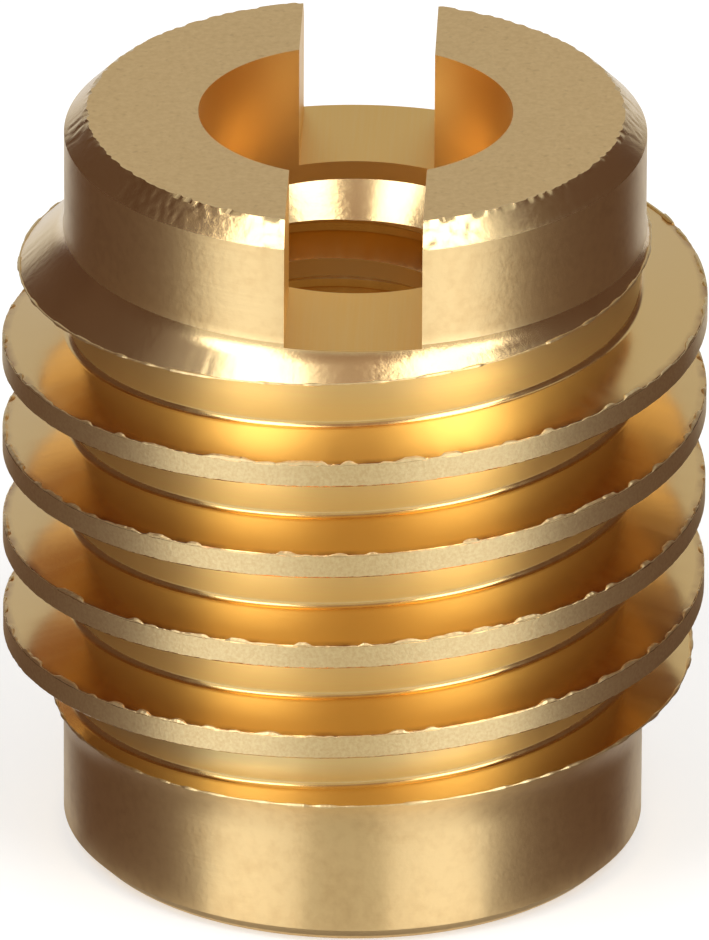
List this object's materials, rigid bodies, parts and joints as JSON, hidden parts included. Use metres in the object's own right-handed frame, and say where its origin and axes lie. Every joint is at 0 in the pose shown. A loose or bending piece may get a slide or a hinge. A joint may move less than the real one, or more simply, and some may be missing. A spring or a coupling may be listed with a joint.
{
  "type": "threaded insert",
  "caption": "Round screw-in insert with a slotted collar, a coarse outside thread with thin flat crests, a plain pilot end and a threaded through bore.",
  "frame": {"origin": "centre of the flat pilot end, on the axis of the insert", "axes": "+Z along the axis toward the slotted face; the screwdriver slot runs along Y"},
  "size_m": [0.0144, 0.0144, 0.016],
  "materials": {
    "insert": "bare turned brass"
  },
  "bodies": {
    "root": {"insert": "insert"}
  },
  "joints": []
}
